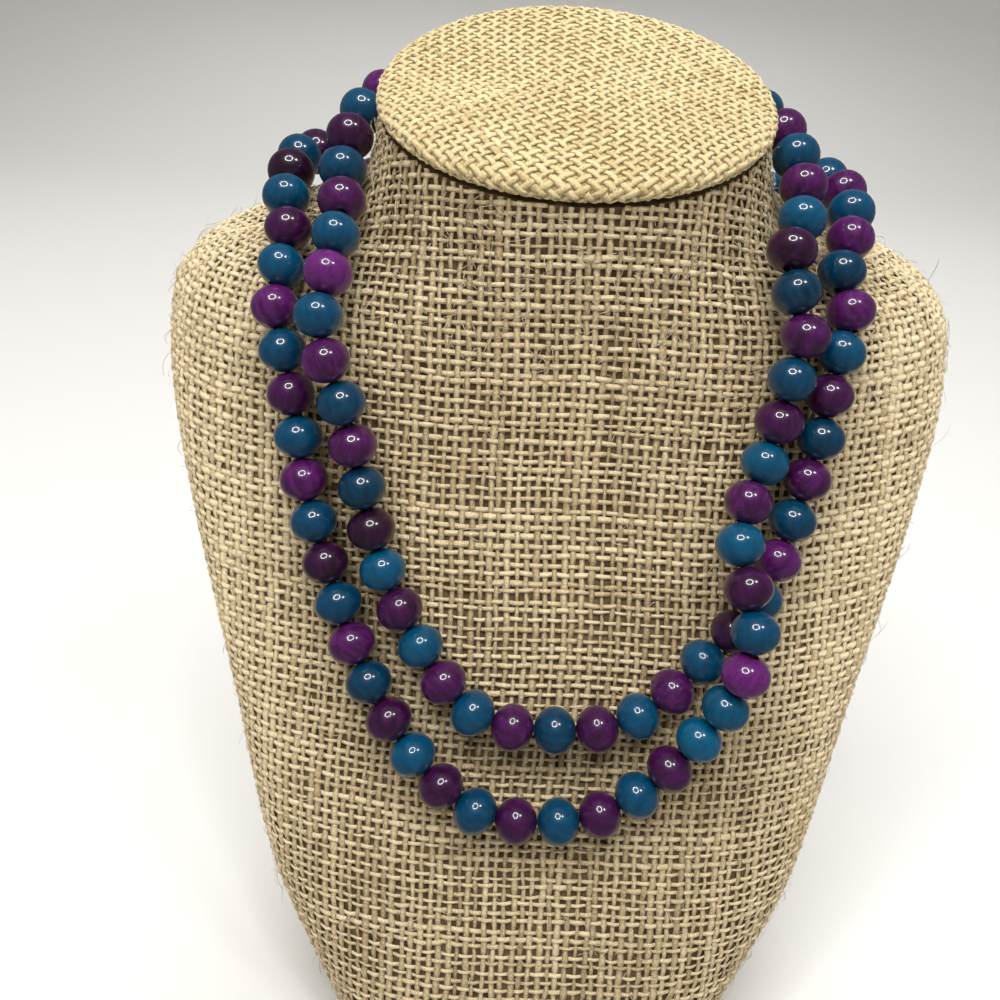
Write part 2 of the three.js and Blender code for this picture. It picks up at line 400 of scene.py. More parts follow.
@dataclass(frozen=True)
class LacquerFinish:
    """Dyed wood with its grain under a thick clear gloss."""

    name: str
    deep: tuple[float, float, float]
    middle: tuple[float, float, float]
    bright: tuple[float, float, float]
    pore: tuple[float, float, float]
    pore_depth: float
    figure: float

    def material(self) -> bpy.types.Material:
        """Builds the dyed and lacquered wood from each bead's own grain and tone."""
        bench = NodeBench(self.name)
        grain = bench.add("ShaderNodeAttribute", attribute_name="grain", attribute_type="GEOMETRY")
        tone = bench.add("ShaderNodeAttribute", attribute_name="tone", attribute_type="GEOMETRY")
        broad = bench.add("ShaderNodeMapping")
        broad.inputs["Scale"].default_value = (1.0, 1.0, 0.13)
        bench.join(grain, "Vector", broad, "Vector")
        figure = bench.noise((broad, 0), 780.0, 5.0)
        pores = bench.noise((broad, 0), 3600.0, 2.0)
        mix = bench.math("ADD", (tone, "Fac"), (bench.math("MULTIPLY", (bench.math("SUBTRACT", (figure, 0), 0.5), 0), self.figure), 0))
        dye = bench.ramp((mix, 0), [(0.1, self.deep), (0.5, self.middle), (0.95, self.bright)])
        flecks = bench.ramp((pores, 0), [(0.36, (1.0, 1.0, 1.0)), (0.5, (0.0, 0.0, 0.0))])
        share = bench.math("MULTIPLY", (flecks, 0), self.pore_depth)
        stain = bench.add("ShaderNodeMix", data_type="RGBA")
        bench.join(share, 0, stain, 0)
        bench.join(dye, 0, stain, 6)
        stain.inputs[7].default_value = (*self.pore, 1.0)
        bench.join(stain, 2, bench.shader, "Base Color")
        ripple = bench.noise((grain, "Vector"), 240.0, 2.0)
        bench.bump((ripple, 0), 0.10, 0.0006)
        bench.fix(Roughness=0.34, Specular_IOR_Level=0.17, Coat_Weight=1.0, Coat_Roughness=0.03, Coat_IOR=1.45)
        return bench.material


@dataclass(frozen=True)
class ThreadFinish:
    """The dark cord that the beads are strung on."""

    name: str = "stringing_thread"

    def material(self) -> bpy.types.Material:
        """Builds the thread's dark twisted material."""
        bench = NodeBench(self.name)
        place = bench.add("ShaderNodeTexCoord")
        twist = bench.noise((place, "Object"), 2600.0, 2.0)
        bench.join(bench.ramp((twist, 0), [(0.3, (0.01, 0.01, 0.012)), (0.7, (0.05, 0.045, 0.05))]), 0, bench.shader, "Base Color")
        bench.bump((twist, 0), 0.5, 0.0002)
        bench.fix(Roughness=0.7)
        return bench.material


@dataclass(frozen=True)
class FloorFinish:
    """Plain pale paper under and behind the bust."""

    name: str = "pale_paper"
    colour: tuple[float, float, float] = (0.72, 0.71, 0.69)

    def material(self) -> bpy.types.Material:
        """Builds the pale matt paper."""
        bench = NodeBench(self.name)
        bench.fix(Base_Color=(*self.colour, 1.0), Roughness=0.85, Specular_IOR_Level=0.2)
        return bench.material


# ---------------------------------------------------------------- woven cloth


class YarnFamily(Enum):
    """The two sets of threads in a plain weave; the value is the sign of their first crossing."""

    WARP = 1
    WEFT = -1


@dataclass(frozen=True)
class Weave:
    """Sizes of a plain weave in millimetres."""

    pitch: float = 2.28
    width: float = 1.34
    thickness: float = 0.62
    rise: float = 0.30
    sink: float = 0.22
    width_spread: float = 0.16
    wander: float = 0.18
    weft_share: float = 0.84


class YarnMesh:
    """Threads gathered as closed four-sided tubes into one mesh."""

    def __init__(self) -> None:
        """Starts with no threads."""
        self.points: list[Array] = []
        self.quads: list[Array] = []
        self.coords: list[Array] = []
        self.tones: list[Array] = []
        self.count = 0

    def lay(self, middles: Array, normals: Array, half_width: Array, half_thick: Array, tones: Array) -> None:
        """Adds one thread.

        Args:
            middles: Points along the thread's middle, in millimetres.
            normals: The cloth's outward direction at each point.
            half_width: Half the thread's width at each point.
            half_thick: Half its thickness at each point.
            tones: Its tone at each point, from 0, dark, to 1, light.
        """
        total = len(middles)
        along = unit(np.gradient(middles, axis=0))
        sideways = unit(np.cross(along, normals))
        upwards = np.cross(sideways, along)
        wide, thick = sideways * half_width[:, None], upwards * half_thick[:, None]
        ring = np.stack([middles + wide, middles + thick, middles - wide, middles - thick], axis=1)
        start = self.count
        first = (np.arange(total - 1) * 4)[:, None] + start
        side, following = np.arange(4)[None, :], (np.arange(4)[None, :] + 1) % 4
        walls = np.stack([first + side, first + side + 4, first + following + 4, first + following], axis=-1).reshape(-1, 4)
        ends = np.array([[start, start + 1, start + 2, start + 3], [start + 4 * total - 1 - k for k in range(4)]])
        length = np.concatenate([[0.0], np.cumsum(np.linalg.norm(np.diff(middles, axis=0), axis=1))]) / 10.0
        here, there = np.repeat(length[:-1], 4), np.repeat(length[1:], 4)
        low, high = np.tile(np.arange(4) / 4.0, total - 1), np.tile(np.arange(1, 5) / 4.0, total - 1)
        wall_coords = np.stack([here, low, there, low, there, high, here, high], axis=-1).reshape(-1, 2)
        self.points.append(ring.reshape(-1, 3))
        self.quads.append(np.vstack([walls, ends]))
        self.coords.append(np.vstack([wall_coords, np.zeros((8, 2)) + length[-1]]))
        self.tones.append(np.repeat(tones, 4))
        self.count += 4 * total

    def piece(self, name: str, material: bpy.types.Material) -> bpy.types.Object:
        """Turns the gathered threads into one object.

        Args:
            name: The piece's name.
            material: The yarn's material.

        Returns:
            The object, in metres, at the origin.
        """
        points = np.vstack(self.points) * MM
        quads = np.vstack(self.quads).astype(np.int32)
        mesh = bpy.data.meshes.new(name)
        mesh.vertices.add(len(points))
        mesh.vertices.foreach_set("co", points.ravel())
        mesh.loops.add(quads.size)
        mesh.loops.foreach_set("vertex_index", quads.ravel())
        mesh.polygons.add(len(quads))
        mesh.polygons.foreach_set("loop_start", np.arange(0, quads.size, 4, dtype=np.int32))
        mesh.polygons.foreach_set("use_smooth", np.ones(len(quads), bool))
        mesh.uv_layers.new(name="yarn").data.foreach_set("uv", np.vstack(self.coords).ravel())
        mesh.attributes.new("tone", "FLOAT", "POINT").data.foreach_set("value", np.concatenate(self.tones))
        mesh.update(calc_edges=True)
        mesh.validate()
        mesh.materials.append(material)
        thing = bpy.data.objects.new(name, mesh)
        bpy.context.scene.collection.objects.link(thing)
        log.info("%s: %d threads, %d triangles", name, len(self.points), 2 * len(quads))
        return thing


class Panel(Enum):
    """The two cloths that meet down the bust's sides; the value is the angle of each one's middle."""

    CHEST = 0.0
    BACK = 180.0


@dataclass
class ClothPanel:
    """One cloth over half of the bust, as a grid of points with their distances along the weave."""

    form: BustForm
    panel: Panel
    weave: Weave
    seed: int
    row_steps: int = 3
    half_turn: int = 91

    def __post_init__(self) -> None:
        """Measures the cloth along both sets of threads."""
        rows = np.arange(0, self.form.last_row + 1e-6, 1.0 / self.row_steps)
        angles = self.panel.value + np.linspace(-self.half_turn, self.half_turn, 2 * self.half_turn + 1)
        grid_rows, grid_angles = np.meshgrid(rows, angles, indexing="ij")
        self.places = self.form.points(grid_rows, grid_angles)
        self.outward = unit(np.cross(np.gradient(self.places, axis=1), np.gradient(self.places, axis=0)))
        across = np.linalg.norm(np.diff(self.places, axis=1), axis=2)
        across = np.hstack([np.zeros((len(rows), 1)), np.cumsum(across, axis=1)])
        across -= across[:, self.half_turn][:, None]
        up = self.heights(across)
        phase = np.random.default_rng(self.seed).uniform(0, 6.28, 6)
        self.across = across + 0.9 * np.sin(up / 31.0 + phase[0]) + 0.45 * np.sin(up / 12.0 + phase[1]) + 0.12 * np.sin(across / 7.0 + phase[4])
        self.up = up + 0.8 * np.sin(across / 27.0 + phase[2]) + 0.4 * np.sin(across / 10.5 + phase[3]) + 0.12 * np.sin(up / 6.0 + phase[5])

    def heights(self, across: Array) -> Array:
        """Distances up the cloth, measured along its upright threads from the widest section both ways.

        Args:
            across: Distances across the cloth at each grid point.

        Returns:
            A height along the cloth for each grid point.
        """
        widest = int(np.argmax(across[:, -1]))
        lines = np.arange(math.floor(across[:, 0].min()), math.ceil(across[:, -1].max()) + 1.0)
        steps = np.arange(across.shape[1])
        columns = np.array([np.interp(lines, row, steps) for row in across])
        numbers = np.arange(across.shape[0], dtype=float)
        points = np.array([self.read(self.places, np.full(len(lines), number), column) for number, column in zip(numbers, columns)])
        gaps = np.linalg.norm(np.diff(points, axis=0), axis=2)
        climbed = np.vstack([np.zeros((1, len(lines))), np.cumsum(gaps, axis=0)])
        middle = int(np.argmin(np.abs(lines)))
        climbed += climbed[widest, middle] - climbed[widest]
        return np.array([np.interp(row, lines, height) for row, height in zip(across, climbed)])

    def read(self, table: Array, row: Array, column: Array) -> Array:
        """Values of a grid table between its rows and columns."""
        low_row = np.clip(np.floor(row).astype(int), 0, table.shape[0] - 2)
        low_column = np.clip(np.floor(column).astype(int), 0, table.shape[1] - 2)
        part_row, part_column = row - low_row, column - low_column
        if table.ndim == 3:
            part_row, part_column = part_row[:, None], part_column[:, None]
        near = table[low_row, low_column] * (1 - part_column) + table[low_row, low_column + 1] * part_column
        far = table[low_row + 1, low_column] * (1 - part_column) + table[low_row + 1, low_column + 1] * part_column
        return near * (1 - part_row) + far * part_row

    def thread_paths(self, family: YarnFamily, number: int, shift: float) -> list[tuple[Array, Array, Array]]:
        """Where one thread runs over the grid.

        Args:
            family: Warp threads run up the cloth and weft threads across it.
            number: The thread's number from the middle, or from the base.
            shift: How far the thread is out of place, in millimetres.

        Returns:
            For each unbroken stretch, row and column numbers and the distance along the thread at each half pitch.
        """
        across_grid, up_grid = (self.across, self.up) if family is YarnFamily.WARP else (self.up.T, self.across.T)
        place = number * self.weave.pitch + shift
        inside = np.flatnonzero((across_grid[:, 0] < place) & (across_grid[:, -1] > place))
        steps, half, paths = np.arange(across_grid.shape[1]), self.weave.pitch / 2, []
        for lines in np.split(inside, np.flatnonzero(np.diff(inside) > 1) + 1):
            if len(lines) < 4:
                continue
            crossings = np.array([np.interp(place, across_grid[line], steps) for line in lines])
            along = self.read(up_grid, lines.astype(float), crossings)
            along = np.maximum.accumulate(along + np.arange(len(along)) * 1e-6)
            marks = np.arange(math.ceil((along[0] + 0.4) / half), math.floor((along[-1] - 0.4) / half) + 1) * half
            if len(marks) < 2:
                continue
            marks = np.concatenate([[along[0]], marks, [along[-1]]])
            on_line = np.interp(marks, along, lines)
            on_cross = np.interp(on_line, lines, crossings)
            paths.append((on_line, on_cross, marks) if family is YarnFamily.WARP else (on_cross, on_line, marks))
        return paths

    def threads(self, family: YarnFamily, tone_middle: float) -> YarnMesh:
        """Lays all the threads of one family.

        Args:
            family: Which threads.
            tone_middle: The usual tone of the yarn.

        Returns:
            The gathered threads.
        """
        weave, gathered = self.weave, YarnMesh()
        rng = np.random.default_rng(self.seed + (7 if family is YarnFamily.WARP else 19))
        grid = self.across if family is YarnFamily.WARP else self.up
        first, last = math.floor(grid.min() / weave.pitch), math.ceil(grid.max() / weave.pitch)
        usual = weave.width if family is YarnFamily.WARP else weave.width * weave.weft_share
        for number in range(first, last + 1):
            broad, tint, shift = rng.normal(), rng.normal(), rng.normal() * weave.wander
            for row, column, marks in self.thread_paths(family, number, shift):
                middles, normals = self.read(self.places, row, column), unit(self.read(self.outward, row, column))
                # Beyond 52 mm from the middle the threads grow wider, and with 0.22 more tone lighter: painted light on
                # the bust's sides.
                side_widening_and_light = np.clip((np.abs(middles[:, 0]) - 52.0) / 30.0, 0.0, 1.0)
                wave = family.value * np.cos(math.pi * (marks / weave.pitch + number))
                width = usual * (1 + weave.width_spread * (0.75 * broad + drift(rng, marks, 9.0, 0.9) + drift(rng, marks, 2.6, 0.5)))
                width = np.clip(width, 0.6 * usual, 1.45 * usual) * (1 + 0.05 * wave) * (1 + 0.30 * side_widening_and_light)
                # painted shade and light: through 0.06 * wave each thread is darker where it dips under a crossing and
                # lighter on its crown
                tones = tone_middle + 0.07 * tint + drift(rng, marks, 14.0, 0.08) + 0.06 * wave + 0.22 * side_widening_and_light
                middles = middles + normals * (weave.rise * wave - weave.sink)[:, None]
                sideways = unit(np.cross(unit(np.gradient(middles, axis=0)), normals))
                middles = middles + sideways * drift(rng, marks, 4.0, 0.15)[:, None]
                thick = weave.thickness * np.sqrt(width / weave.width)
                gathered.lay(middles, normals, width / 2, thick / 2, tones)
        return gathered


@dataclass
class Fuzz:
    """Loose jute hairs that stand out of the cloth."""

    panels: list[ClothPanel]
    count: int = 3200
    seed: int = 41

    def build(self, material: bpy.types.Material) -> bpy.types.Object:
        """Scatters the hairs over the panels, each with its own curl.

        Args:
            material: The pale fibre material.

        Returns:
            One object that holds every hair.
        """
        rng = np.random.default_rng(self.seed)
        gathered = YarnMesh()
        for number in range(self.count):
            panel = self.panels[number % len(self.panels)]
            row = np.array([rng.uniform(4, panel.places.shape[0] - 6)])
            column = np.array([rng.uniform(2, panel.places.shape[1] - 3)])
            root = panel.read(panel.places, row, column)[0]
            normal = unit(panel.read(panel.outward, row, column))[0]
            heading = unit(np.cross(normal, rng.normal(size=3)))
            aside = np.cross(normal, heading)
            length, lift, curl = float(np.clip(rng.gamma(2.2, 1.25), 0.9, 9.0)), rng.uniform(0.05, 0.6), rng.normal() * 1.1
            share = np.linspace(0, 1, 6)[:, None]
            rise = 0.15 + length * lift * np.sin(share * math.pi * rng.uniform(0.35, 0.95)) * 0.62
            middles = root + heading * length * share + aside * curl * share**2 * 1.6 + normal * rise
            middles[:, 2] = np.maximum(middles[:, 2], 0.3)
            thin = np.full(6, rng.uniform(0.06, 0.10)) * np.array([1, 1, 0.95, 0.9, 0.75, 0.5])
            gathered.lay(middles, np.tile(normal, (6, 1)), thin, thin, np.full(6, rng.uniform(0.7, 1.0)))
        return gathered.piece("cloth_fuzz", material)


# ---------------------------------------------------------------- the bust


@dataclass
class NeckBust:
    """The covered form: a backing coloured dark brown as painted shade for the holes, carrying the woven threads of two
    cloth panels.
    """

    form: BustForm
    weave: Weave
    sides: int = 120
    row_step: float = 2.0
    inset: float = 0.85

    def underform(self) -> bpy.types.Object:
        """Raises the under-cloth, coloured as painted shade, ring by ring from its foot and closes both ends.

        Returns:
            The closed form that stands under the threads.
        """
        deselect_all()
        bpy.ops.mesh.primitive_circle_add(vertices=self.sides, radius=0.05)
        piece = bpy.context.object
        piece.name = piece.data.name = "bust_undercloth"
        angles = np.arange(self.sides) * 360.0 / self.sides
        rows = np.arange(0, self.form.last_row + 1e-6, self.row_step)
        bpy.ops.object.mode_set(mode="EDIT")
        for _ in rows[1:]:
            bpy.ops.mesh.extrude_region_move(TRANSFORM_OT_translate={"value": (0, 0, 0.001)})
        bpy.ops.object.mode_set(mode="OBJECT")
        places = []
        for row in rows:
            ring = self.form.points(row, angles) - self.form.normals(row, angles) * self.inset
            ring[:, 2] = np.maximum(ring[:, 2], 0.0)
            places.append(ring)
        heights = sorted({round(vertex.co.z, 6) for vertex in piece.data.vertices})
        level_of = {height: index for index, height in enumerate(heights)}
        for vertex in piece.data.vertices:
            ring = places[level_of[round(vertex.co.z, 6)]]
            around = math.degrees(math.atan2(vertex.co.x, -vertex.co.y)) % 360.0
            vertex.co = Vector(ring[int(round(around / (360.0 / self.sides))) % self.sides]) * MM
        self.close_ends(piece)
        return piece

    def close_ends(self, piece: bpy.types.Object) -> None:
        """Fills the foot and the top of the raised form and turns its faces outwards.

        Args:
            piece: The open form.
        """
        pick(piece)
        bpy.ops.object.mode_set(mode="EDIT")
        bpy.ops.mesh.select_all(action="DESELECT")
        bpy.ops.mesh.select_mode(type="EDGE")
        bpy.ops.mesh.select_non_manifold()
        bpy.ops.mesh.fill_holes(sides=0)
        bpy.ops.mesh.select_all(action="SELECT")
        bpy.ops.mesh.normals_make_consistent(inside=False)
        bpy.ops.object.mode_set(mode="OBJECT")
        bpy.ops.object.shade_smooth_by_angle(angle=math.radians(50))

    def build(self, yarn: YarnFinish, backing: UnderclothFinish, fibre: YarnFinish) -> None:
        """Makes the under-cloth in painted shade, the four sets of threads and the loose hairs.

        Args:
            yarn: The threads' finish.
            backing: The under-cloth's finish, whose dark brown is painted shade.
            fibre: The loose hairs' finish.
        """
        under = self.underform()
        under.data.materials.append(backing.material())
        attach(under, BODY)
        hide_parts("bust_body")
        log.info("bust_undercloth: %d faces", len(under.data.polygons))
        material = yarn.material()
        panels = [ClothPanel(self.form, Panel.CHEST, self.weave, 3), ClothPanel(self.form, Panel.BACK, self.weave, 5)]
        for panel in panels:
            for family in YarnFamily:
                name = f"{panel.panel.name.lower()}_{family.name.lower()}"
                piece = panel.threads(family, 0.47 if family is YarnFamily.WARP else 0.72).piece(name, material)
                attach(piece, BODY)
        fuzz = Fuzz(panels).build(fibre.material())
        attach(fuzz, BODY)


@dataclass
class NeckCap:
    """The padded cloth cap on the cut neck, its weave laid on the bias and rolled over the rim."""

    form: BustForm
    weave: Weave
    gap: float = 0.3
    profile: tuple[tuple[float, float], ...] = (
        (0.0, 0.945), (0.9, 0.988), (2.6, 1.010), (4.1, 0.998), (5.2, 0.955), (5.8, 0.870), (6.1, 0.700), (6.2, 0.400), (6.2, 0.0),
    )
    bias: float = 41.0
    sides: int = 120
    inset: float = 0.34

    def __post_init__(self) -> None:
        """Measures the cap outwards from its middle, evenly along the cloth."""
        centre, _, upwards = self.form.top_frame()
        angles = np.linspace(0, 360, self.sides + 1)
        rim = self.form.points(self.form.last_row, angles) - centre
        steps = np.array(self.profile)[::-1]
        smooth = spline_rows(steps, 10)
        shares = 60
        self.places = np.zeros((shares + 1, len(angles), 3))
        self.reach = np.zeros(len(angles))
        for index, spoke in enumerate(rim):
            line = centre + spoke * np.clip(smooth[:, 1], 0, None)[:, None] + upwards * (smooth[:, 0] + self.gap)[:, None]
            length = np.concatenate([[0.0], np.cumsum(np.linalg.norm(np.diff(line, axis=0), axis=1))])
            self.reach[index] = length[-1]
            for axis in range(3):
                self.places[:, index, axis] = np.interp(np.linspace(0, length[-1], shares + 1), length, line[:, axis])
        outward = np.cross(np.gradient(self.places, axis=0), np.gradient(self.places, axis=1))
        outward[0] = upwards
        outward = unit(outward)
        flip = np.sign((outward * upwards).sum(axis=2)[5])[None, :, None]
        outward[1:] = outward[1:] * flip
        self.outward = outward
        self.angles = angles

    def read(self, table: Array, share: Array, angle: Array) -> Array:
        """Values of a cap table at shares of the way out and at angles."""
        row = np.clip(share, 0, 1) * (table.shape[0] - 1)
        column = (angle % 360.0) / 360.0 * self.sides
        low_row = np.clip(np.floor(row).astype(int), 0, table.shape[0] - 2)
        low_column = np.clip(np.floor(column).astype(int), 0, table.shape[1] - 2)
        part_row, part_column = (row - low_row)[:, None], (column - low_column)[:, None]
        near = table[low_row, low_column] * (1 - part_column) + table[low_row, low_column + 1] * part_column
        far = table[low_row + 1, low_column] * (1 - part_column) + table[low_row + 1, low_column + 1] * part_column
        return near * (1 - part_row) + far * part_row

    def padding(self, backing: UnderclothFinish) -> bpy.types.Object:
        """Raises the pad under the cap's cloth from its rim inwards.

        Args:
            backing: The pad's finish.

        Returns:
            The closed pad.
        """
        deselect_all()
        bpy.ops.mesh.primitive_circle_add(vertices=self.sides, radius=0.05)
        piece = bpy.context.object
        piece.name = piece.data.name = "cap_padding"
        shares = np.concatenate([np.linspace(1.0, 0.8, 12), np.linspace(0.7, 0.1, 7)])
        bpy.ops.object.mode_set(mode="EDIT")
        for _ in shares[1:]:
            bpy.ops.mesh.extrude_region_move(TRANSFORM_OT_translate={"value": (0, 0, 0.001)})
        bpy.ops.object.mode_set(mode="OBJECT")
        angles = self.angles[:-1]
        places = [
            self.read(self.places, np.full(self.sides, share), angles) - self.read(self.outward, np.full(self.sides, share), angles) * self.inset
            for share in shares
        ]
        for vertex in piece.data.vertices:
            around = math.degrees(math.atan2(vertex.co.x, -vertex.co.y)) % 360.0
            ring = places[int(round(vertex.co.z / 0.001))]
            vertex.co = Vector(ring[int(round(around / (360.0 / self.sides))) % self.sides]) * MM
        NeckBust.close_ends(self, piece)
        piece.data.materials.append(backing.material())
        return piece

    def threads(self, family: YarnFamily) -> YarnMesh:
        """Lays one family of the cap's threads across it and over its rim.

        Args:
            family: Which threads.

        Returns:
            The gathered threads.
        """
        weave, gathered = self.weave, YarnMesh()
        rng = np.random.default_rng(61 if family is YarnFamily.WARP else 67)
        turn = math.radians(self.bias if family is YarnFamily.WARP else self.bias + 90.0)
        heading, aside = np.array([math.cos(turn), math.sin(turn)]), np.array([-math.sin(turn), math.cos(turn)])
        aside = aside * (1 if family is YarnFamily.WARP else -1)
        far = float(self.reach.max())
        half = weave.pitch / 2
        for number in range(-int(far / weave.pitch) - 1, int(far / weave.pitch) + 2):
            marks = np.arange(-int(far / half) - 1, int(far / half) + 2) * half
            shift = number * weave.pitch + rng.normal() * weave.wander + drift(rng, marks, 8.0, 0.10)
            flat = heading * marks[:, None] + aside * shift[:, None]
            angle = np.degrees(np.arctan2(flat[:, 0], -flat[:, 1]))
            out = np.linalg.norm(flat, axis=1)
            limit = np.interp(angle % 360.0, self.angles, self.reach)
            inside = out < limit
            if inside.sum() < 4:
                continue
            angle, share, marks = angle[inside], (out / limit)[inside], marks[inside]
            middles, normals = self.read(self.places, share, angle), unit(self.read(self.outward, share, angle))
            wave = family.value * np.cos(math.pi * (marks / weave.pitch + number))
            width = weave.width * (1 + weave.width_spread * (0.7 * rng.normal() + drift(rng, marks, 7.0, 0.8)))
            width = np.clip(width, 0.75 * weave.width, 1.35 * weave.width)
            # painted shade and light: through 0.05 * wave each thread is darker where it dips under a crossing and
            # lighter on its crown
            tones = 0.62 + 0.09 * rng.normal() + drift(rng, marks, 12.0, 0.07) + 0.05 * wave
            middles = middles + normals * (weave.rise * wave - weave.sink)[:, None]
            gathered.lay(middles, normals, width / 2, np.full(len(width), weave.thickness / 2), tones)
        return gathered

    def build(self, yarn: YarnFinish, backing: UnderclothFinish) -> None:
        """Makes the pad and both families of threads.

        Args:
            yarn: The threads' finish.
            backing: The pad's finish.
        """
        pad = self.padding(backing)
        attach(pad, BODY)
        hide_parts("neck_cap")
        log.info("cap_padding: %d faces", len(pad.data.polygons))
        material = yarn.material()
        for family in YarnFamily:
            piece = self.threads(family).piece(f"cap_{family.name.lower()}", material)
            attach(piece, BODY)


# ---------------------------------------------------------------- the string of beads


class BeadDye(Enum):
    """The two dyes that alternate along the string."""

    TEAL = "teal_bead"
    PURPLE = "purple_bead"


RUNS: tuple[tuple[str, int], ...] = (
    ("turn_one_front_right", 8), ("turn_one_right_shoulder", 8), ("turn_one_nape_right", 6), ("turn_one_nape_left", 5),
    ("turn_one_left_shoulder", 8), ("turn_one_left_breast", 8), ("turn_one_front", 7), ("turn_two_front_right", 8),
    ("turn_two_right_shoulder", 8), ("turn_two_nape_right", 7), ("turn_two_nape_left", 7), ("turn_two_left_shoulder", 8),
    ("turn_two_left_breast", 8), ("turn_two_front", 9),
)

FIRST_TURN: tuple[tuple[float, float, float], ...] = (
    (22.8, 101, 7.5), (24.2, 110.5, 12), (24, 121, 12), (21.5, 132, 9), (21, 142, 6), (25, 157, 1.5), (29.5, 174.5, 3),
    (45, 184.5, 4.8), (67, 194.5, 3.2), (94, 203, 0), (122, 204, 0), (150, 204, 0), (180, 204, 0), (210, 204, 0),
    (238, 204, 0), (262, 202, 0), (281, 196, 1), (302, 187.5, 4), (325, 178, 6), (333.5, 163.5, 4.5), (336.5, 145.4, 2),
    (339, 127, 0), (344.3, 111, 0), (352, 96.5, 0),
)
SECOND_TURN: tuple[tuple[float, float, float], ...] = (
    (1, 93.3, 0), (10.6, 97.3, 0), (19.6, 109.5, 0), (27.4, 123, 0), (31, 142, 0), (33.6, 158.5, 0), (38, 174.5, 0),
    (57, 182.5, 1), (80, 185, 3), (106, 184, 3), (132, 181, 2), (158, 177.5, 0.3), (180, 176.5, 0), (202, 177.5, 0.3),
    (228, 181, 2), (254, 184, 3), (273, 185, 3), (300, 182.5, 1), (319, 175, 0), (325, 160, 0), (326.9, 141, 0),
    (330, 123, 0), (334.6, 104, 0), (343, 86, 0), (354, 74, 0), (366, 75, 0), (376, 86.5, 2.5),
)


@dataclass
class BeadRoute:
    """The closed line through the middles of the beads, in millimetres."""

    form: BustForm
    radius: float = 5.7
    gap: float = 0.4
    count: int = 105
    steps: int = 20

    def __post_init__(self) -> None:
        """Lays the line over the bust and measures it."""
        table = np.array([*FIRST_TURN, *[(around + 360.0, level, lift) for around, level, lift in SECOND_TURN]], float)
        filled = spline_rows(table, self.steps, closing=np.array([720.0, 0.0, 0.0]))
        filled = np.vstack([filled, filled[:1] + np.array([720.0, 0.0, 0.0])])
        rows = self.form.row_of_level(filled[:, 1])
        surface = self.form.points(rows, filled[:, 0])
        self.outward = self.form.normals(rows, filled[:, 0])
        self.line = surface + self.outward * (self.radius + self.gap + np.maximum(filled[:, 2], 0.0))[:, None]
        self.measure = np.concatenate([[0.0], np.cumsum(np.linalg.norm(np.diff(self.line, axis=0), axis=1))])
        self.length = float(self.measure[-1])
        self.pitch = self.length / self.count

    def at(self, distance: Array, table: Array) -> Array:
        """Values of a table of the line at distances round it, which may run past its ends."""
        wrapped = np.asarray(distance, float) % self.length
        return np.stack([np.interp(wrapped, self.measure, table[:, axis]) for axis in range(3)], axis=-1)

    def frames(self) -> list[Matrix]:
        """Each bead's place and turn.

        Returns:
            Matrices in millimetres whose third axis runs along the thread.
        """
        frames = []
        for number in range(self.count):
            distance = number * self.pitch
            middle = self.at(distance, self.line)
            axis = unit(self.at(distance + self.pitch / 2, self.line) - self.at(distance - self.pitch / 2, self.line))
            outward = self.at(distance, self.outward)
            outward = unit(outward - axis * float(outward @ axis))
            sideways = np.cross(axis, outward)
            turned = Matrix((outward, sideways, axis)).transposed().to_4x4()
            frames.append(Matrix.Translation(Vector(middle)) @ turned)
        return frames


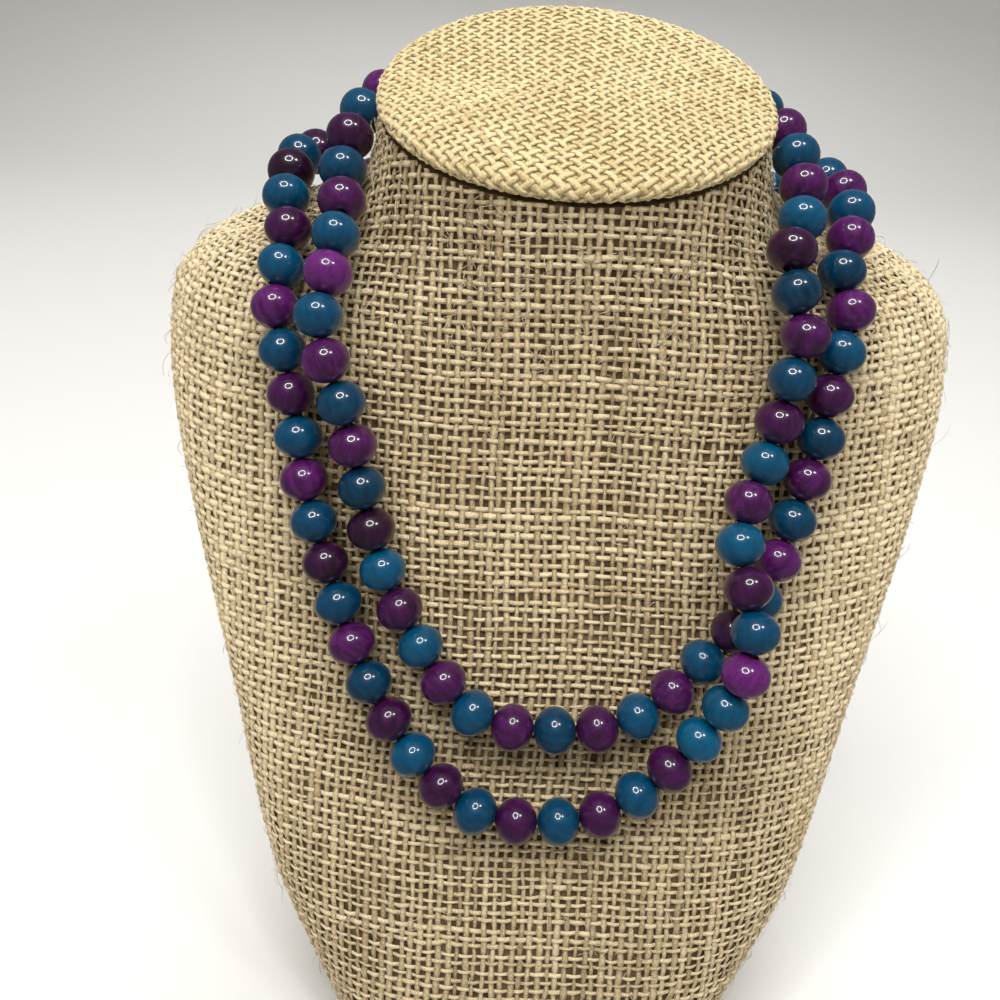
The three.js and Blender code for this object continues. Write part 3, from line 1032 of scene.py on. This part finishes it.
@dataclass
class BeadString:
    """One long closed string of round wooden beads in two alternating dyes."""

    route: BeadRoute
    diameter: float = 11.4
    bore: float = 2.2
    seed: int = 23

    def pattern_bead(self) -> bpy.types.Object:
        """Shapes the one bead that the others are copied from.

        Returns:
            A bead in metres whose bore runs along z.
        """
        deselect_all()
        bpy.ops.mesh.primitive_uv_sphere_add(segments=28, ring_count=18, radius=self.diameter / 2 * MM)
        bead = bpy.context.object
        bead.name = bead.data.name = "pattern_bead"
        reach = (self.route.pitch - 0.10) / 2 * MM
        rise = self.diameter / 2 * MM
        bpy.ops.object.mode_set(mode="EDIT")
        bpy.ops.mesh.select_all(action="DESELECT")
        bpy.ops.object.mode_set(mode="OBJECT")
        bead.data.vertices[0].co = bead.data.vertices[0].co
        for vertex in bead.data.vertices:
            vertex.select = abs(abs(vertex.co.z) - rise) < 1e-6
        bpy.ops.object.mode_set(mode="EDIT")
        bpy.ops.mesh.select_mode(type="VERT")
        bpy.ops.mesh.delete(type="VERT")
        bpy.ops.mesh.select_all(action="DESELECT")
        bpy.ops.mesh.select_mode(type="EDGE")
        bpy.ops.mesh.select_non_manifold()
        bpy.ops.mesh.bridge_edge_loops()
        bpy.ops.object.mode_set(mode="OBJECT")
        top = max(vertex.co.z for vertex in bead.data.vertices)
        for edge in bead.data.edges:
            ends = [bead.data.vertices[index].co.z for index in edge.vertices]
            edge.select = all(abs(abs(height) - top) < 1e-6 for height in ends) and ends[0] * ends[1] > 0
        bpy.ops.object.mode_set(mode="EDIT")
        bpy.ops.mesh.bevel(offset=0.35 * MM, segments=1, affect="EDGES")
        bpy.ops.mesh.select_all(action="SELECT")
        bpy.ops.transform.resize(value=(1.0, 1.0, reach / rise * 1.012))
        bpy.ops.mesh.normals_make_consistent(inside=False)
        bpy.ops.object.mode_set(mode="OBJECT")
        bpy.ops.object.shade_smooth_by_angle(angle=math.radians(45))
        return bead

    def thread(self) -> bpy.types.Object:
        """Bends the stringing thread into its closed loop through every bead.

        Returns:
            The thread as a closed mesh.
        """
        distances = np.arange(0, self.route.length, self.route.pitch / 3)
        points = self.route.at(distances, self.route.line) * MM
        curve = bpy.data.curves.new("stringing_thread", "CURVE")
        curve.dimensions = "3D"
        curve.bevel_depth = 0.65 * MM
        curve.bevel_resolution = 1
        spline = curve.splines.new("POLY")
        spline.points.add(len(points) - 1)
        for point, place in zip(spline.points, points):
            point.co = (*place, 1.0)
        spline.use_cyclic_u = True
        thread = bpy.data.objects.new("stringing_thread", curve)
        bpy.context.scene.collection.objects.link(thread)
        pick(thread)
        bpy.ops.object.convert(target="MESH")
        thread = bpy.context.object
        thread.data.shade_smooth()
        return thread

    def build(self, dyes: dict[BeadDye, LacquerFinish], cord: ThreadFinish) -> None:
        """Copies the bead along the route, each copy with its own size, turn, grain and tone.

        Args:
            dyes: The finish of each dye.
            cord: The finish of the stringing thread.
        """
        rng = np.random.default_rng(self.seed)
        pattern = self.pattern_bead()
        local = np.zeros(len(pattern.data.vertices) * 3)
        pattern.data.vertices.foreach_get("co", local)
        local = local.reshape(-1, 3)
        materials = {dye: finish.material() for dye, finish in dyes.items()}
        starts, first = {}, 0
        for name, beads in RUNS:
            starts[first] = name
            first += beads
        for number, placed in enumerate(self.route.frames()):
            dye = BeadDye.TEAL if number % 2 == 0 else BeadDye.PURPLE
            name = f"{dye.value}_{number:03d}"
            mesh = pattern.data.copy()
            mesh.name = name
            size = 1.0 + float(np.clip(rng.normal() * 0.010, -0.02, 0.02))
            tilt = Matrix.Rotation(math.radians(float(rng.normal() * 2.4)), 4, "X") @ Matrix.Rotation(math.radians(float(rng.normal() * 2.4)), 4, "Y")
            spin = Matrix.Rotation(float(rng.uniform(0, 6.28)), 4, "Z")
            into = Matrix.Translation(placed.translation * MM) @ placed.to_3x3().to_4x4() @ tilt @ spin @ Matrix.Diagonal((size, size, 1.0, 1.0))
            mesh.transform(into)
            lean = np.array(Matrix.Rotation(float(rng.uniform(-0.5, 0.5)), 3, "X") @ Matrix.Rotation(float(rng.uniform(-0.5, 0.5)), 3, "Y"))
            grain = local @ lean.T + rng.uniform(-0.5, 0.5, 3)
            mesh.attributes.new("grain", "FLOAT_VECTOR", "POINT").data.foreach_set("vector", grain.ravel())
            tone = float(np.clip(0.53 + rng.normal() * 0.17, 0.08, 0.90))
            mesh.attributes.new("tone", "FLOAT", "POINT").data.foreach_set("value", np.full(len(local), tone))
            mesh.materials.append(materials[dye])
            bead = bpy.data.objects.new(name, mesh)
            bpy.context.scene.collection.objects.link(bead)
            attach(bead, BODY)
            if number in starts:
                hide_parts(starts[number])
        bpy.data.objects.remove(pattern)
        thread = self.thread()
        thread.data.materials.append(cord.material())
        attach(thread, BODY)
        log.info("beads: %d of %.1f mm, string %.1f mm round, %d triangles each", self.route.count, self.diameter, self.route.length, sum(len(p.vertices) - 2 for p in mesh.polygons))


# ---------------------------------------------------------------- the studio


@dataclass(frozen=True)
class AreaLamp:
    """One soft lamp aimed at the bust: its name, direction from the bust, distance, size and power."""

    name: str
    toward: tuple[float, float, float]
    distance: float
    size: float
    watts: float
    shape: str = "SQUARE"
    colour: tuple[float, float, float] = (1.0, 1.0, 1.0)
    mirrored: bool = False

    def hang(self, target: Vector) -> None:
        """Hangs the lamp and turns it to the target."""
        data = bpy.data.lights.new(self.name, "AREA")
        data.shape, data.size, data.energy, data.color = self.shape, self.size, self.watts, self.colour
        lamp = bpy.data.objects.new(self.name, data)
        direction = Vector(self.toward).normalized()
        lamp.location = target + direction * self.distance
        lamp.rotation_euler = direction.to_track_quat("Z", "Y").to_euler()
        lamp.visible_camera = False
        lamp.visible_glossy = self.mirrored
        bpy.context.scene.collection.objects.link(lamp)


@dataclass
class Studio:
    """Pale paper, soft lamps, a ring lamp overhead and the camera."""

    target: tuple[float, float, float] = (0.0, -0.01, 0.15)
    camera_place: tuple[float, float, float] = (-0.016, -0.210, 0.2555)
    pitch: float = 28.0
    yaw: float = 0.7
    roll: float = 3.2
    lens: float = 36.1
    ring_lamps: int = 16

    def camera(self) -> None:
        """Sets the camera on its stand."""
        pitch, yaw, roll = (math.radians(value) for value in (self.pitch, self.yaw, self.roll))
        ahead = Vector((math.sin(yaw) * math.cos(pitch), math.cos(yaw) * math.cos(pitch), -math.sin(pitch)))
        right = Vector((math.cos(yaw), -math.sin(yaw), 0.0))
        upright = right.cross(ahead)
        rolled_right = right * math.cos(roll) + upright * math.sin(roll)
        rolled_up = upright * math.cos(roll) - right * math.sin(roll)
        data = bpy.data.cameras.new("camera")
        data.lens, data.sensor_width, data.clip_start = self.lens, 36.0, 0.01
        camera = bpy.data.objects.new("camera", data)
        turned = Matrix((rolled_right, rolled_up, -ahead)).transposed().to_4x4()
        camera.matrix_world = Matrix.Translation(Vector(self.camera_place)) @ turned
        bpy.context.scene.collection.objects.link(camera)
        bpy.context.scene.camera = camera

    def paper(self, finish: FloorFinish) -> None:
        """Lays the paper and rolls it up behind the bust."""
        deselect_all()
        bpy.ops.mesh.primitive_plane_add(size=5.0, location=(0.0, -0.6, 0.0))
        sheet = bpy.context.object
        sheet.name = sheet.data.name = "pale_paper"
        settle(sheet)
        for edge in sheet.data.edges:
            edge.select = all(sheet.data.vertices[index].co.y > 1.8 for index in edge.vertices)
        bpy.ops.object.mode_set(mode="EDIT")
        bpy.ops.mesh.select_mode(type="EDGE")
        bpy.ops.object.mode_set(mode="OBJECT")
        for edge in sheet.data.edges:
            edge.select = all(sheet.data.vertices[index].co.y > 1.8 for index in edge.vertices)
        bpy.ops.object.mode_set(mode="EDIT")
        bpy.ops.mesh.extrude_region_move(TRANSFORM_OT_translate={"value": (0, 0.3, 2.6)})
        bpy.ops.object.mode_set(mode="OBJECT")
        for edge in sheet.data.edges:
            ends = [sheet.data.vertices[index].co for index in edge.vertices]
            edge.select = all(end.z < 0.01 and end.y > 1.8 for end in ends)
        bpy.ops.object.mode_set(mode="EDIT")
        bpy.ops.mesh.bevel(offset=0.8, segments=12, affect="EDGES")
        bpy.ops.object.mode_set(mode="OBJECT")
        sheet.data.shade_smooth()
        sheet.data.materials.append(finish.material())
        sheet.visible_glossy = False

    def lamps(self) -> None:
        """Hangs the soft lamps and the ring of small ones."""
        target = Vector(self.target)
        AreaLamp("key_lamp", (-0.40, -0.55, 1.25), 1.15, 0.75, 2.7, colour=(1.0, 0.975, 0.94)).hang(target)
        AreaLamp("fill_lamp", (0.9, -0.65, 0.6), 1.4, 1.1, 1.9, colour=(0.95, 0.975, 1.0)).hang(target)
        AreaLamp("back_lamp", (0.1, 0.58, 1.1), 1.4, 1.0, 9.0).hang(target)
        AreaLamp("rear_lamp", (0.0, 1.0, 0.55), 1.5, 1.0, 4.0).hang(target)
        AreaLamp("left_lamp", (-1.0, 0.10, 0.45), 1.3, 0.8, 2.2, colour=(1.0, 0.98, 0.95)).hang(target)
        AreaLamp("right_lamp", (1.0, 0.10, 0.45), 1.3, 0.8, 1.8).hang(target)
        AreaLamp("window_lamp", (0.37, -0.30, 0.88), 1.0, 0.16, 2.0, mirrored=True).hang(target)
        centre = Vector((-0.128, -0.352, 0.927)).normalized()
        first = centre.orthogonal().normalized()
        second = centre.cross(first)
        for number in range(self.ring_lamps):
            turn = 2 * math.pi * number / self.ring_lamps
            toward = centre + (first * math.cos(turn) + second * math.sin(turn)) * 0.25
            AreaLamp(f"ring_lamp_{number:02d}", tuple(toward), toward.length, 0.075, 0.62, "DISK", mirrored=True).hang(target)
        world = bpy.data.worlds.new("studio_air")
        bpy.context.scene.world = world
        world.use_nodes = True
        air = world.node_tree.nodes["Background"]
        air.inputs[0].default_value = (0.93, 0.95, 1.0, 1.0)
        air.inputs[1].default_value = 0.17
        bpy.context.scene.view_settings.view_transform = "Standard"


# ---------------------------------------------------------------- the whole


BURLAP = YarnFinish("burlap_yarn", (0.24, 0.15, 0.062), (0.53, 0.395, 0.205), (0.80, 0.66, 0.41))
CAP_BURLAP = YarnFinish("cap_burlap_yarn", (0.47, 0.33, 0.135), (0.64, 0.49, 0.235), (0.78, 0.65, 0.365))
FIBRE = YarnFinish("loose_fibre", (0.50, 0.36, 0.19), (0.70, 0.56, 0.34), (0.86, 0.74, 0.50))
LACQUERS: dict[BeadDye, LacquerFinish] = {
    BeadDye.TEAL: LacquerFinish("teal_lacquer", (0.0, 0.013, 0.027), (0.0, 0.040, 0.092), (0.0, 0.078, 0.158), (0.001, 0.02, 0.04), 0.25, 0.75),
    BeadDye.PURPLE: LacquerFinish("purple_lacquer", (0.015, 0.002, 0.011), (0.045, 0.0035, 0.050), (0.112, 0.011, 0.130), (0.010, 0.003, 0.010), 0.45, 1.1),
}


def main() -> None:
    """Builds the bust, its cap, the string and the studio in order."""
    logging.basicConfig(level=logging.INFO, format="%(name)s: %(message)s", stream=sys.stdout)
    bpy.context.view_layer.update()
    form = BustForm()
    studio = Studio()
    studio.camera()
    NeckBust(form, Weave()).build(BURLAP, UnderclothFinish(), FIBRE)
    NeckCap(form, Weave(pitch=2.2, width=1.62, rise=0.27, width_spread=0.10)).build(CAP_BURLAP, UnderclothFinish("cap_undercloth", (0.40, 0.29, 0.125), (0.58, 0.44, 0.21), (0.58, 0.44, 0.21), 0.0))
    BeadString(BeadRoute(form)).build(LACQUERS, ThreadFinish())
    studio.paper(FloorFinish())
    studio.lamps()


if __name__ == "__main__":
    main()
